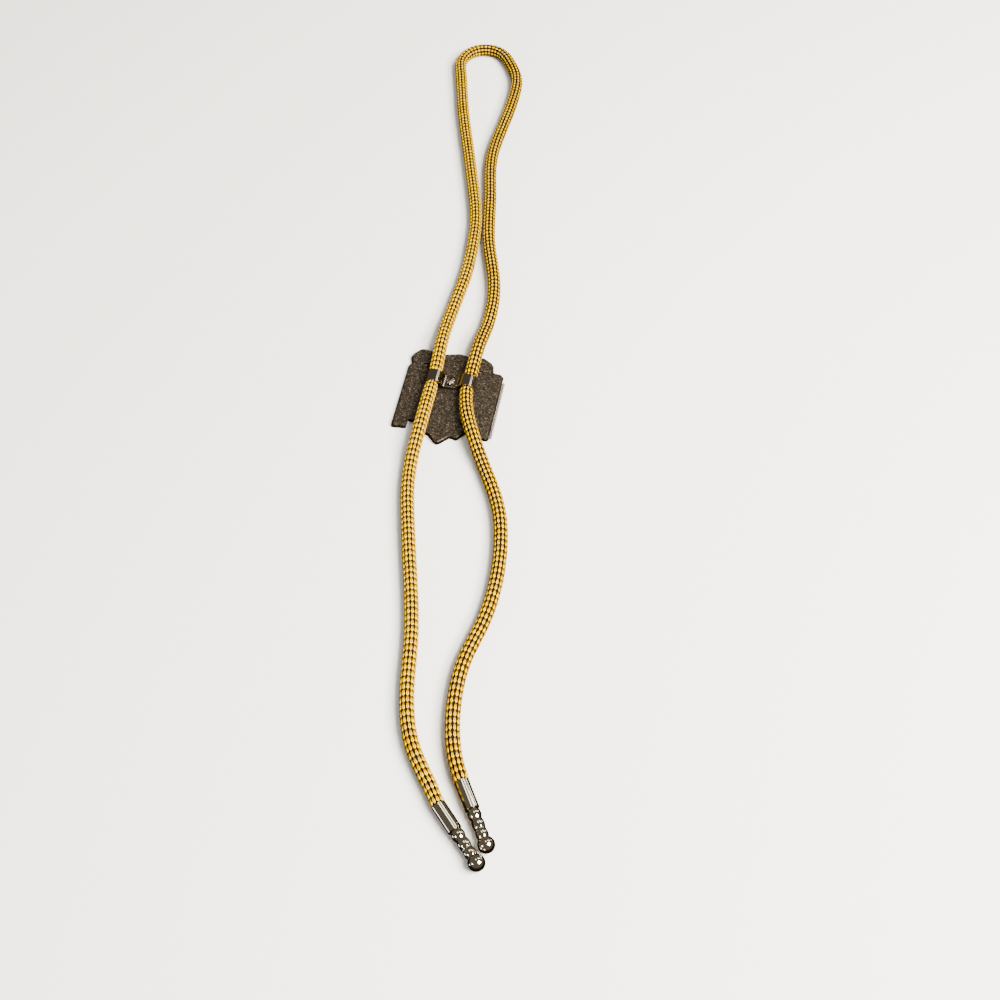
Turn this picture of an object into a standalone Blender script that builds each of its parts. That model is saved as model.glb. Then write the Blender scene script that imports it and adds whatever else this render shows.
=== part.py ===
"""A bolo tie lying face down, built in metres with +Z up.

The cast slide ornament rests on its face and holds a doubled knitted cord in a spring clip on its back.
The cord makes a narrow neck loop and ends in two metal tips.
The origin is the middle of the ornament's face, on the surface that everything rests on.
+Y points from the tips to the neck loop, and +X to the right as seen from above.
"""

from math import asin, ceil, cos, pi, radians, sin, sqrt, tan

import bmesh
import bpy
import numpy as np
from mathutils import Matrix, Vector

# Clearance between neighbouring pieces
GAP = 0.0003

# Cord: a knitted tube, pinched by the clip and crimped in the tips
CORD_DIAMETER = 0.0056
CORD_CLIPPED_DIAMETER = 0.0044
CORD_CRIMPED_DIAMETER = 0.0038
CORD_TAPER_LENGTH = 0.006
CORD_SAMPLES_PER_SPAN = 2
CORD_BEVEL_RESOLUTION = 3

# Ornament: a cast plate whose sides slope in from the face to the back
ORNAMENT_TURN = radians(-11.0)
PLATE_WIDTH = 0.0408
PLATE_HEIGHT = 0.0489
PLATE_SIDE_DRAFT = 0.0007
PLATE_END_DRAFT = 0.0002
PLATE_THICKNESS = 0.0020
PLATE_BORDER_HEIGHT = 0.0007
POINT_RADIUS = 0.0016
SOFT_RADIUS = 0.0010
CRISP_RADIUS = 0.0003
LOBE_RADIUS = 0.0024
ARC_STEP = radians(24.0)
# The largest share of a side that the rounding of one of its corners takes
CORNER_SHARE_OF_SIDE = 0.45

# Sunk fields of the side panels, on the ornament's face
FIELD_DEPTH = 0.0006
FIELD_WIDTH = 0.0050
FIELD_RIM = 0.0017
FIELD_SHARE_OF_HEIGHT = 0.62
FIELD_CENTRE_SHARE = -0.025

# Grooves in the back that part the lobes from the side panels
GROOVE_WIDTH = 0.0006
GROOVE_DEPTH = 0.0011
GROOVE_LENGTH = 0.0055
GROOVE_LEFT_START_SHARE = -0.70
GROOVE_RIGHT_START_SHARE = 0.61
GROOVE_HEIGHT_SHARE = 0.335

# Clip: one spring strip with a saddle on a raised pad and an arm over each run of the cord
CLIP_OFF_CENTRE = -0.00035
CLIP_HEIGHT_ON_PLATE = 0.00675
CLIP_STRIP_WIDTH = 0.0059
CLIP_STRIP_THICKNESS = 0.0005
CLIP_SADDLE_WIDTH = 0.0058
CORD_SPACING = 0.0149
ARM_CORNER_RADIUS = 0.0013
SADDLE_CORNER_RADIUS = 0.0007

# Pad, stud and peened head, cast and formed in one with the plate
PAD_HEIGHT = 0.0014
PAD_WIDTH = 0.0050
PAD_LENGTH = 0.0054
STUD_DIAMETER = 0.0018
HEAD_DIAMETER = 0.0034
HEAD_HEIGHT = 0.0009
HEAD_RIM_SHARE_OF_HEIGHT = 0.35
HEAD_SHOULDER_SHARE_OF_HEIGHT = 0.80
HEAD_SHOULDER_SHARE_OF_RADIUS = 0.76
STUD_SIDES = 16

# Tips: a hollow sleeve, three beads and an end ball, turned about one axis
TIP_SLEEVE_DIAMETER = 0.0052
TIP_SLEEVE_LENGTH = 0.0111
TIP_BORE_DEPTH = 0.0090
TIP_NECK_DIAMETER = 0.0034
TIP_BALL_DIAMETER = 0.0061
TIP_EDGE_ROUND = 0.0001
TIP_SIDES = 20
TIP_BEAD_STEPS = 6
TIP_BALL_STEPS = 8
TIP_SMOOTH_ANGLE = radians(40.0)
# Length and diameter of each bead, from the sleeve to the ball
TIP_BEADS = (
    (0.0039, 0.0048),
    (0.0039, 0.0045),
    (0.0034, 0.0044),
)
TIP_LEFT_MOUTH = (0.0002, -0.1809)
TIP_LEFT_HEADING = radians(32.8)
TIP_RIGHT_MOUTH = (0.0081, -0.1722)
TIP_RIGHT_HEADING = radians(20.7)

# The cord's middle line, chosen by hand, from the left tip up to the clip
ROUTE_LEFT_LOWER = (
    (-0.0022, -0.1755, 0.0028),
    (-0.0089, -0.1605, 0.0028),
    (-0.0122, -0.1390, 0.0028),
    (-0.0115, -0.1140, 0.0028),
    (-0.0129, -0.0860, 0.0028),
    (-0.0147, -0.0610, 0.0028),
    (-0.0149, -0.0390, 0.0028),
    (-0.0116, -0.0195, 0.0052),
)
# From the clip up, round the neck loop and down to the clip again
ROUTE_NECK_LOOP = (
    (-0.0037, 0.0250, 0.0053),
    (0.0006, 0.0470, 0.0028),
    (0.0070, 0.0720, 0.0028),
    (0.0092, 0.0870, 0.0028),
    (0.0104, 0.1010, 0.0028),
    (0.0090, 0.1250, 0.0028),
    (0.0065, 0.1500, 0.0028),
    (0.0037, 0.1780, 0.0028),
    (0.0021, 0.2060, 0.0028),
    (0.0027, 0.2160, 0.0028),
    (0.0089, 0.2229, 0.0028),
    (0.0166, 0.2238, 0.0028),
    (0.0224, 0.2206, 0.0028),
    (0.0266, 0.2131, 0.0028),
    (0.0296, 0.2015, 0.0028),
    (0.0286, 0.1898, 0.0028),
    (0.0231, 0.1675, 0.0028),
    (0.0175, 0.1430, 0.0028),
    (0.0170, 0.1180, 0.0028),
    (0.0166, 0.0880, 0.0028),
    (0.0189, 0.0620, 0.0028),
    (0.0163, 0.0400, 0.0028),
    (0.0126, 0.0256, 0.0053),
)
# From the clip down to the right tip
ROUTE_RIGHT_LOWER = (
    (0.0076, -0.0082, 0.0051),
    (0.0100, -0.0205, 0.0052),
    (0.0154, -0.0376, 0.0028),
    (0.0208, -0.0570, 0.0028),
    (0.0216, -0.0755, 0.0028),
    (0.0190, -0.0950, 0.0028),
    (0.0148, -0.1090, 0.0028),
    (0.0085, -0.1240, 0.0028),
    (0.0050, -0.1410, 0.0028),
    (0.0058, -0.1640, 0.0028),
)

# The ornament's outline, anticlockwise from its bottom point: shares of the half width and of the height
# from the middle, and the radius that rounds the corner
OUTLINE = (
    (0.000, -0.500, POINT_RADIUS),
    (0.234, -0.398, SOFT_RADIUS),
    (0.370, -0.417, SOFT_RADIUS),
    (0.530, -0.325, SOFT_RADIUS),
    (0.570, -0.287, CRISP_RADIUS),
    (0.700, -0.287, CRISP_RADIUS),
    (0.690, -0.366, SOFT_RADIUS),
    (1.000, -0.377, SOFT_RADIUS),
    (1.000, 0.332, SOFT_RADIUS),
    (0.775, 0.346, CRISP_RADIUS),
    (0.740, 0.440, LOBE_RADIUS),
    (0.500, 0.497, SOFT_RADIUS),
    (0.400, 0.462, CRISP_RADIUS),
    (0.290, 0.472, CRISP_RADIUS),
    (0.000, 0.500, LOBE_RADIUS),
    (-0.290, 0.472, CRISP_RADIUS),
    (-0.430, 0.446, CRISP_RADIUS),
    (-0.560, 0.476, SOFT_RADIUS),
    (-0.830, 0.503, LOBE_RADIUS),
    (-1.010, 0.415, LOBE_RADIUS),
    (-0.945, 0.322, CRISP_RADIUS),
    (-1.000, 0.304, SOFT_RADIUS),
    (-1.000, -0.377, SOFT_RADIUS),
    (-0.690, -0.366, SOFT_RADIUS),
    (-0.700, -0.287, CRISP_RADIUS),
    (-0.570, -0.287, CRISP_RADIUS),
    (-0.530, -0.325, SOFT_RADIUS),
    (-0.370, -0.417, SOFT_RADIUS),
    (-0.234, -0.398, SOFT_RADIUS),
)

# Heights that several pieces share
CORD_RADIUS = CORD_DIAMETER / 2
CLIPPED_CORD_MIDDLE = PLATE_THICKNESS + GAP + CORD_CLIPPED_DIAMETER / 2
PAD_TOP = PLATE_THICKNESS + PAD_HEIGHT
SADDLE_BOTTOM = PAD_TOP + GAP
SADDLE_TOP = SADDLE_BOTTOM + CLIP_STRIP_THICKNESS
HEAD_BOTTOM = SADDLE_TOP + GAP
TIP_AXIS_HEIGHT = TIP_BALL_DIAMETER / 2


def clear_scene():
    """Remove whatever the file holds."""
    for thing in list(bpy.data.objects):
        bpy.data.objects.remove(thing, do_unlink=True)


def make_material(name, colour, roughness, metallic):
    """Give one Principled material."""
    material = bpy.data.materials.new(name)
    material.use_nodes = True
    shader = material.node_tree.nodes["Principled BSDF"]
    shader.inputs["Base Color"].default_value = (*colour, 1.0)
    shader.inputs["Roughness"].default_value = roughness
    shader.inputs["Metallic"].default_value = metallic
    return material


def add_object(name, data, material, parent=None):
    """Put a mesh or curve in the scene with its material."""
    thing = bpy.data.objects.new(name, data)
    bpy.context.scene.collection.objects.link(thing)
    data.materials.append(material)
    thing.parent = parent
    return thing


def mesh_from(name, bm):
    """Turn a bmesh into a mesh of triangles whose faces point out."""
    bmesh.ops.recalc_face_normals(bm, faces=bm.faces)
    bmesh.ops.triangulate(bm, faces=bm.faces)
    mesh = bpy.data.meshes.new(name)
    bm.to_mesh(mesh)
    bm.free()
    return mesh


def shade_round(mesh, angle):
    """Shade a round piece smooth, with edges sharper than the angle kept."""
    mesh.shade_smooth()
    mesh.set_sharp_from_angle(angle=angle)


def rounded_outline(corners):
    """Replace each corner of a closed outline with an arc of its radius."""
    points = []
    for index, (corner, radius) in enumerate(corners):
        before = corners[index - 1][0]
        after = corners[(index + 1) % len(corners)][0]
        back = before - corner
        ahead = after - corner
        half_angle = back.angle(ahead) / 2
        room = CORNER_SHARE_OF_SIDE * min(back.length, ahead.length)
        reach = min(radius / tan(half_angle), room)
        radius = reach * tan(half_angle)
        middle = corner + (back.normalized() + ahead.normalized()).normalized() * (radius / sin(half_angle))
        start = corner + back.normalized() * reach - middle
        end = corner + ahead.normalized() * reach - middle
        sweep = start.angle(end)
        steps = max(1, ceil(sweep / ARC_STEP))
        for step in range(steps + 1):
            share = step / steps
            blend = start * sin((1 - share) * sweep) + end * sin(share * sweep)
            points.append(middle + blend / sin(sweep))
    return points


def face_outline():
    """Give the ornament's outline at its face."""
    corners = []
    for across, along, radius in OUTLINE:
        corners.append((Vector((across * PLATE_WIDTH / 2, along * PLATE_HEIGHT)), radius))
    return rounded_outline(corners)


def loft_levels(bm, levels):
    """Join outlines of the same count, each at its height, into one closed body."""
    rings = []
    for outline, height in levels:
        rings.append([bm.verts.new((point.x, point.y, height)) for point in outline])
    for lower, upper in zip(rings, rings[1:]):
        for index in range(len(lower)):
            following = (index + 1) % len(lower)
            bm.faces.new((lower[index], lower[following], upper[following], upper[index]))
    bm.faces.new(list(reversed(rings[0])))
    bm.faces.new(rings[-1])


def box_mesh(name, size, centre):
    """Give a plain box as a mesh."""
    bm = bmesh.new()
    bmesh.ops.create_cube(bm, size=1.0)
    bmesh.ops.scale(bm, vec=size, verts=bm.verts)
    bmesh.ops.translate(bm, vec=centre, verts=bm.verts)
    return mesh_from(name, bm)


def disc_mesh(name, diameter, bottom, top, centre):
    """Give an upright cylinder as a mesh."""
    bm = bmesh.new()
    bmesh.ops.create_cone(
        bm,
        cap_ends=True,
        segments=STUD_SIDES,
        radius1=diameter / 2,
        radius2=diameter / 2,
        depth=top - bottom,
        matrix=Matrix.Translation((centre[0], centre[1], (bottom + top) / 2)),
    )
    return mesh_from(name, bm)


def add_tool(name, mesh, parent):
    """Add a hidden shape that a Boolean uses."""
    tool = bpy.data.objects.new(name, mesh)
    bpy.context.scene.collection.objects.link(tool)
    tool.parent = parent
    tool.hide_render = True
    tool.display_type = "WIRE"
    return tool


def add_boolean(thing, tool, operation):
    """Cut or join a hidden shape."""
    modifier = thing.modifiers.new(tool.name, "BOOLEAN")
    modifier.operation = operation
    modifier.object = tool
    modifier.solver = "EXACT"


def peened_head_mesh(centre):
    """Give the stud's head: a low dome, flat underneath."""
    rim = HEAD_DIAMETER / 2
    profile = (
        (0.0, HEAD_BOTTOM),
        (rim, HEAD_BOTTOM),
        (rim, HEAD_BOTTOM + HEAD_HEIGHT * HEAD_RIM_SHARE_OF_HEIGHT),
        (rim * HEAD_SHOULDER_SHARE_OF_RADIUS, HEAD_BOTTOM + HEAD_HEIGHT * HEAD_SHOULDER_SHARE_OF_HEIGHT),
        (0.0, HEAD_BOTTOM + HEAD_HEIGHT),
    )
    bm = bmesh.new()
    previous = None
    for radius, height in profile:
        vertex = bm.verts.new((radius, 0.0, height))
        if previous is not None:
            bm.edges.new((previous, vertex))
        previous = vertex
    bmesh.ops.spin(
        bm,
        geom=bm.verts[:] + bm.edges[:],
        axis=(0.0, 0.0, 1.0),
        cent=(0.0, 0.0, 0.0),
        steps=STUD_SIDES,
        angle=2 * pi,
        use_merge=False,
    )
    bmesh.ops.remove_doubles(bm, verts=bm.verts, dist=GAP / 100)
    bmesh.ops.translate(bm, vec=(centre[0], centre[1], 0.0), verts=bm.verts)
    return mesh_from("peened_head", bm)


def build_plate(parent):
    """Cast ornament: sloping plate, pad and stud on its back, sunk fields in its face, grooves in its back."""
    bm = bmesh.new()
    face = face_outline()
    width_share = 1 - 2 * PLATE_SIDE_DRAFT / PLATE_WIDTH
    height_share = 1 - 2 * PLATE_END_DRAFT / PLATE_HEIGHT
    back = [Vector((point.x * width_share, point.y * height_share)) for point in face]
    loft_levels(bm, ((face, 0.0), (face, PLATE_BORDER_HEIGHT), (back, PLATE_THICKNESS)))
    material = make_material("cast_zinc", (0.105, 0.085, 0.065), 0.55, 0.8)
    plate = add_object("slide_plate", mesh_from("slide_plate", bm), material, parent)

    seat = (CLIP_OFF_CENTRE, CLIP_HEIGHT_ON_PLATE)
    root = PLATE_THICKNESS / 2
    pad_size = (PAD_WIDTH, PAD_LENGTH, PAD_TOP - root)
    pad = box_mesh("pad", pad_size, (seat[0], seat[1], (PAD_TOP + root) / 2))
    add_boolean(plate, add_tool("pad_tool", pad, parent), "UNION")
    stud = disc_mesh("stud", STUD_DIAMETER, root, HEAD_BOTTOM + HEAD_HEIGHT / 2, seat)
    add_boolean(plate, add_tool("stud_tool", stud, parent), "UNION")
    add_boolean(plate, add_tool("head_tool", peened_head_mesh(seat), parent), "UNION")

    for side, name in ((-1, "left"), (1, "right")):
        across = side * (PLATE_WIDTH / 2 - FIELD_RIM - FIELD_WIDTH / 2)
        along = FIELD_CENTRE_SHARE * PLATE_HEIGHT
        size = (FIELD_WIDTH, FIELD_SHARE_OF_HEIGHT * PLATE_HEIGHT, 2 * FIELD_DEPTH)
        field = box_mesh("field_" + name, size, (across, along, 0.0))
        add_boolean(plate, add_tool("field_tool_" + name, field, parent), "DIFFERENCE")

    starts = ((GROOVE_LEFT_START_SHARE, 1, "left"), (GROOVE_RIGHT_START_SHARE, -1, "right"))
    for share, inward, name in starts:
        across = share * PLATE_WIDTH / 2 + inward * GROOVE_LENGTH / 2
        along = GROOVE_HEIGHT_SHARE * PLATE_HEIGHT
        size = (GROOVE_LENGTH, GROOVE_WIDTH, 2 * GROOVE_DEPTH)
        groove = box_mesh("groove_" + name, size, (across, along, PLATE_THICKNESS))
        add_boolean(plate, add_tool("groove_tool_" + name, groove, parent), "DIFFERENCE")
    return plate


def rounded_path(corners):
    """Round the inner corners of an open line, each with its radius."""
    points = [corners[0][0]]
    for index in range(1, len(corners) - 1):
        corner, radius = corners[index]
        back = (corners[index - 1][0] - corner).normalized()
        ahead = (corners[index + 1][0] - corner).normalized()
        half_angle = back.angle(ahead) / 2
        middle = corner + (back + ahead).normalized() * (radius / sin(half_angle))
        start = corner + back * (radius / tan(half_angle)) - middle
        end = corner + ahead * (radius / tan(half_angle)) - middle
        sweep = start.angle(end)
        steps = max(2, ceil(sweep / ARC_STEP))
        for step in range(steps + 1):
            share = step / steps
            blend = start * sin((1 - share) * sweep) + end * sin(share * sweep)
            points.append(middle + blend / sin(sweep))
    points.append(corners[-1][0])
    return points


def clip_line():
    """Give the middle line of the clip's strip, from one free end over both arms to the other."""
    half_strip = CLIP_STRIP_THICKNESS / 2
    arm_reach = CORD_CLIPPED_DIAMETER / 2 + GAP + half_strip
    arm_middle = CORD_SPACING / 2
    foot = PLATE_THICKNESS + GAP
    saddle = SADDLE_BOTTOM + half_strip
    top = CLIPPED_CORD_MIDDLE + arm_reach
    inner_top = arm_middle - arm_reach + CLIP_STRIP_THICKNESS
    half = [
        (Vector((CLIP_SADDLE_WIDTH / 2, saddle)), SADDLE_CORNER_RADIUS),
        (Vector((inner_top, top)), ARM_CORNER_RADIUS),
        (Vector((arm_middle + arm_reach, top)), ARM_CORNER_RADIUS),
        (Vector((arm_middle + arm_reach, foot)), 0.0),
    ]
    mirrored = [(Vector((-point.x, point.y)), radius) for point, radius in reversed(half)]
    return rounded_path(mirrored + half)


def build_clip(parent):
    """Spring clip: one strip of even thickness bent over both runs of the cord, with a hole for the stud."""
    line = clip_line()
    half_strip = CLIP_STRIP_THICKNESS / 2
    upper = []
    lower = []
    for index, point in enumerate(line):
        before = line[max(index - 1, 0)]
        after = line[min(index + 1, len(line) - 1)]
        along = (point - before).normalized() + (after - point).normalized()
        along = along.normalized()
        normal = Vector((-along.y, along.x))
        upper.append(point + normal * half_strip)
        lower.append(point - normal * half_strip)
    section = lower + list(reversed(upper))
    near = CLIP_HEIGHT_ON_PLATE - CLIP_STRIP_WIDTH / 2
    bm = bmesh.new()
    rings = []
    for along in (near, near + CLIP_STRIP_WIDTH):
        rings.append([bm.verts.new((point.x + CLIP_OFF_CENTRE, along, point.y)) for point in section])
    count = len(section)
    for index in range(count):
        following = (index + 1) % count
        bm.faces.new((rings[0][index], rings[0][following], rings[1][following], rings[1][index]))
    for ring in rings:
        for index in range(len(line) - 1):
            opposite = count - 1 - index
            bm.faces.new((ring[index], ring[index + 1], ring[opposite - 1], ring[opposite]))
    material = make_material("spring_nickel", (0.55, 0.52, 0.48), 0.18, 1.0)
    clip = add_object("cord_clip", mesh_from("cord_clip", bm), material, parent)
    centre = (CLIP_OFF_CENTRE, CLIP_HEIGHT_ON_PLATE)
    hole = disc_mesh("stud_hole", STUD_DIAMETER + 2 * GAP, PAD_TOP, HEAD_BOTTOM, centre)
    add_boolean(clip, add_tool("stud_hole_tool", hole, parent), "DIFFERENCE")
    return clip


def tip_profile():
    """Give the tip's turned profile as distance from the mouth and radius, from the bore's end to the pole."""
    bore = CORD_CRIMPED_DIAMETER / 2 + GAP
    sleeve = TIP_SLEEVE_DIAMETER / 2
    neck = TIP_NECK_DIAMETER / 2
    profile = [
        (TIP_BORE_DEPTH, 0.0),
        (TIP_BORE_DEPTH, bore),
        (0.0, bore),
        (0.0, sleeve - TIP_EDGE_ROUND),
        (TIP_EDGE_ROUND, sleeve),
        (TIP_SLEEVE_LENGTH - TIP_EDGE_ROUND, sleeve),
        (TIP_SLEEVE_LENGTH, neck),
    ]
    start = TIP_SLEEVE_LENGTH
    for length, diameter in TIP_BEADS:
        radius = diameter / 2
        for step in range(1, TIP_BEAD_STEPS + 1):
            share = step / TIP_BEAD_STEPS
            from_middle = 2 * share - 1
            height = radius * sqrt(1 - from_middle**2 * (1 - (neck / radius) ** 2))
            profile.append((start + length * share, height))
        start += length
    ball = TIP_BALL_DIAMETER / 2
    first = asin(neck / ball)
    centre = start + ball * cos(first)
    for step in range(1, TIP_BALL_STEPS):
        angle = first + (pi - first) * step / TIP_BALL_STEPS
        profile.append((centre - ball * cos(angle), ball * sin(angle)))
    profile.append((centre + ball, 0.0))
    return profile


def build_tip(name, mouth, heading, material):
    """Turned metal tip, lying on its ball with its mouth at one end of the cord."""
    bm = bmesh.new()
    previous = None
    for along, radius in tip_profile():
        vertex = bm.verts.new((along, 0.0, -radius))
        if previous is not None:
            bm.edges.new((previous, vertex))
        previous = vertex
    bmesh.ops.spin(
        bm,
        geom=bm.verts[:] + bm.edges[:],
        axis=(1.0, 0.0, 0.0),
        cent=(0.0, 0.0, 0.0),
        steps=TIP_SIDES,
        angle=2 * pi,
        use_merge=False,
    )
    bmesh.ops.remove_doubles(bm, verts=bm.verts, dist=GAP / 100)
    mesh = mesh_from(name, bm)
    shade_round(mesh, TIP_SMOOTH_ANGLE)
    tip = add_object(name, mesh, material)
    tip.location = (mouth[0], mouth[1], TIP_AXIS_HEIGHT)
    tip.rotation_euler = (0.0, 0.0, heading - pi / 2)
    return tip


def tip_passage(mouth, heading):
    """Give the cord's end inside a tip, from its cut end to the mouth."""
    start = Vector((mouth[0], mouth[1], TIP_AXIS_HEIGHT))
    inward = Vector((sin(heading), -cos(heading), 0.0))
    return [start + inward * (TIP_BORE_DEPTH - GAP), start]


def clip_passage(side):
    """Give the cord's way through one arm of the clip, from the near edge to the far edge."""
    turn = Matrix.Rotation(ORNAMENT_TURN, 3, "Z")
    across = CLIP_OFF_CENTRE + side * CORD_SPACING / 2
    points = []
    for along in (-CLIP_STRIP_WIDTH / 2, CLIP_STRIP_WIDTH / 2):
        points.append(turn @ Vector((across, CLIP_HEIGHT_ON_PLATE + along, CLIPPED_CORD_MIDDLE)))
    return points


def smooth_line(route, samples_per_span):
    """Read points from the natural cubic curve through the route's points."""
    points = np.array([tuple(point) for point in route])
    spans = np.linalg.norm(np.diff(points, axis=0), axis=1)
    count = len(points)
    system = np.zeros((count, count))
    pull = np.zeros((count, 3))
    system[0, 0] = 1.0
    system[-1, -1] = 1.0
    slopes = np.diff(points, axis=0) / spans[:, None]
    for index in range(1, count - 1):
        system[index, index - 1] = spans[index - 1]
        system[index, index] = 2 * (spans[index - 1] + spans[index])
        system[index, index + 1] = spans[index]
        pull[index] = 6 * (slopes[index] - slopes[index - 1])
    bends = np.linalg.solve(system, pull)
    line = []
    for index in range(count - 1):
        span = spans[index]
        for step in range(samples_per_span):
            ahead = span * step / samples_per_span
            left = span - ahead
            bent = (bends[index] * left**3 + bends[index + 1] * ahead**3) / (6 * span)
            start = (points[index] / span - bends[index] * span / 6) * left
            end = (points[index + 1] / span - bends[index + 1] * span / 6) * ahead
            line.append(bent + start + end)
    line.append(points[-1])
    return np.array(line)


def cord_radius_at(point):
    """Give the cord's radius: less in the clip and in the tips, full elsewhere."""
    turn_back = Matrix.Rotation(-ORNAMENT_TURN, 3, "Z")
    on_plate = turn_back @ Vector(point)
    past_clip = abs(on_plate.y - CLIP_HEIGHT_ON_PLATE) - CLIP_STRIP_WIDTH / 2
    share = min(max(past_clip / CORD_TAPER_LENGTH, 0.0), 1.0)
    clipped = CORD_CLIPPED_DIAMETER / 2
    radius = clipped + (CORD_RADIUS - clipped) * share
    crimped = CORD_CRIMPED_DIAMETER / 2
    for mouth, heading in ((TIP_LEFT_MOUTH, TIP_LEFT_HEADING), (TIP_RIGHT_MOUTH, TIP_RIGHT_HEADING)):
        outward = Vector((-sin(heading), cos(heading)))
        offset = Vector((point[0] - mouth[0], point[1] - mouth[1]))
        if offset.length < 2 * TIP_BORE_DEPTH:
            share = min(max(offset.dot(outward) / CORD_TAPER_LENGTH, 0.0), 1.0)
            radius = crimped + (CORD_RADIUS - crimped) * share
    return radius


def build_cord():
    """Knitted cord as one round tube, from tip to tip through both arms of the clip."""
    route = tip_passage(TIP_LEFT_MOUTH, TIP_LEFT_HEADING)
    route += [Vector(point) for point in ROUTE_LEFT_LOWER]
    route += clip_passage(-1)
    route += [Vector(point) for point in ROUTE_NECK_LOOP]
    route += list(reversed(clip_passage(1)))
    route += [Vector(point) for point in ROUTE_RIGHT_LOWER]
    route += list(reversed(tip_passage(TIP_RIGHT_MOUTH, TIP_RIGHT_HEADING)))
    line = smooth_line(route, CORD_SAMPLES_PER_SPAN)
    curve = bpy.data.curves.new("cord", "CURVE")
    curve.dimensions = "3D"
    curve.bevel_depth = CORD_RADIUS
    curve.bevel_resolution = CORD_BEVEL_RESOLUTION
    curve.use_fill_caps = True
    spline = curve.splines.new("POLY")
    spline.points.add(len(line) - 1)
    for point, place in zip(spline.points, line):
        radius = cord_radius_at(place)
        point.co = (place[0], place[1], max(place[2], radius), 1.0)
        point.radius = radius / CORD_RADIUS
    spline.use_smooth = True
    material = make_material("rayon_knit", (0.68, 0.46, 0.12), 0.6, 0.0)
    return add_object("cord", curve, material)


def main():
    clear_scene()
    ornament = bpy.data.objects.new("ornament", None)
    bpy.context.scene.collection.objects.link(ornament)
    ornament.rotation_euler = (0.0, 0.0, ORNAMENT_TURN)
    build_plate(ornament)
    build_clip(ornament)
    build_cord()
    gunmetal = make_material("black_nickel", (0.16, 0.14, 0.11), 0.2, 1.0)
    build_tip("tip_left", TIP_LEFT_MOUTH, TIP_LEFT_HEADING, gunmetal)
    build_tip("tip_right", TIP_RIGHT_MOUTH, TIP_RIGHT_HEADING, gunmetal)


main()
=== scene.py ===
"""The looks of a bolo tie that lies face down on a pale floor.

A cast zinc ornament shows its granular back and a spring clip. The clip holds both runs of a knitted rayon
cord, which makes a narrow neck loop and ends in two turned tips.
Sizes are in millimetres unless a name says otherwise, and MM turns them into metres.
"""

from math import asin, cos, pi, radians, sin, sqrt, tan

import bpy
import numpy as np
from mathutils import Matrix, Vector, noise


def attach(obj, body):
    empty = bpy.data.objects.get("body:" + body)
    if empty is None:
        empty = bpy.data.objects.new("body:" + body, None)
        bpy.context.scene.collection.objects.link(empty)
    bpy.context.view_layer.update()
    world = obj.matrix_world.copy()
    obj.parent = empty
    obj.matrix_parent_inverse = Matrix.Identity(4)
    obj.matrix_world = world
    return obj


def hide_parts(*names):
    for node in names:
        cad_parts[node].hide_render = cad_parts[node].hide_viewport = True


MM = 0.001

# Camera, matched to the photo: it looks down at 55 degrees above the floor. Its near and far limits are in
# metres
CAMERA_PLACE = (21.465, -383.04, 474.667)
CAMERA_TILT = 35.0
CAMERA_LENS = 52.524
CAMERA_SENSOR = 36.0
CAMERA_NEAR = 0.01
CAMERA_FAR = 20.0

# Clearance between neighbouring pieces, and the ornament's thickness and turn, as in the model's own source
GAP = 0.3
PLATE_THICKNESS = 2.0
ORNAMENT_TURN = radians(-11.0)

# Cord sizes and route, as in the model's own source
CORD_DIAMETER = 5.6
CORD_CLIPPED_DIAMETER = 4.4
CORD_CRIMPED_DIAMETER = 3.8
CORD_TAPER_LENGTH = 6.0
CLIP_OFF_CENTRE = -0.35
CLIP_HEIGHT_ON_PLATE = 6.75
CLIP_STRIP_WIDTH = 5.9
CORD_SPACING = 14.9
CLIPPED_CORD_MIDDLE = PLATE_THICKNESS + GAP + CORD_CLIPPED_DIAMETER / 2
TIP_CORD_DEPTH = 8.7
TIP_LEFT_MOUTH = (0.2, -180.9)
TIP_LEFT_HEADING = radians(32.8)
TIP_RIGHT_MOUTH = (8.1, -172.2)
TIP_RIGHT_HEADING = radians(20.7)
ROUTE_LEFT_LOWER = (
    (-2.2, -175.5, 2.8),
    (-8.9, -160.5, 2.8),
    (-12.2, -139.0, 2.8),
    (-11.5, -114.0, 2.8),
    (-12.9, -86.0, 2.8),
    (-14.7, -61.0, 2.8),
    (-14.9, -39.0, 2.8),
    (-11.6, -19.5, 5.2),
)
ROUTE_NECK_LOOP = (
    (-3.7, 25.0, 5.3),
    (0.6, 47.0, 2.8),
    (7.0, 72.0, 2.8),
    (9.2, 87.0, 2.8),
    (10.4, 101.0, 2.8),
    (9.0, 125.0, 2.8),
    (6.5, 150.0, 2.8),
    (3.7, 178.0, 2.8),
    (2.1, 206.0, 2.8),
    (2.7, 216.0, 2.8),
    (8.9, 222.9, 2.8),
    (16.6, 223.8, 2.8),
    (22.4, 220.6, 2.8),
    (26.6, 213.1, 2.8),
    (29.6, 201.5, 2.8),
    (28.6, 189.8, 2.8),
    (23.1, 167.5, 2.8),
    (17.5, 143.0, 2.8),
    (17.0, 118.0, 2.8),
    (16.6, 88.0, 2.8),
    (18.9, 62.0, 2.8),
    (16.3, 40.0, 2.8),
    (12.6, 25.6, 5.3),
)
ROUTE_RIGHT_LOWER = (
    (7.6, -8.2, 5.1),
    (10.0, -20.5, 5.2),
    (15.4, -37.6, 2.8),
    (20.8, -57.0, 2.8),
    (21.6, -75.5, 2.8),
    (19.0, -95.0, 2.8),
    (14.8, -109.0, 2.8),
    (8.5, -124.0, 2.8),
    (5.0, -141.0, 2.8),
    (5.8, -164.0, 2.8),
)
# Points on the cord's line between two points of its route
SAMPLES_PER_SPAN = 24
# How near a tip's mouth a point has to be for the tip to squeeze the cord there
TIP_REACH = 2 * TIP_CORD_DEPTH

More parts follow.
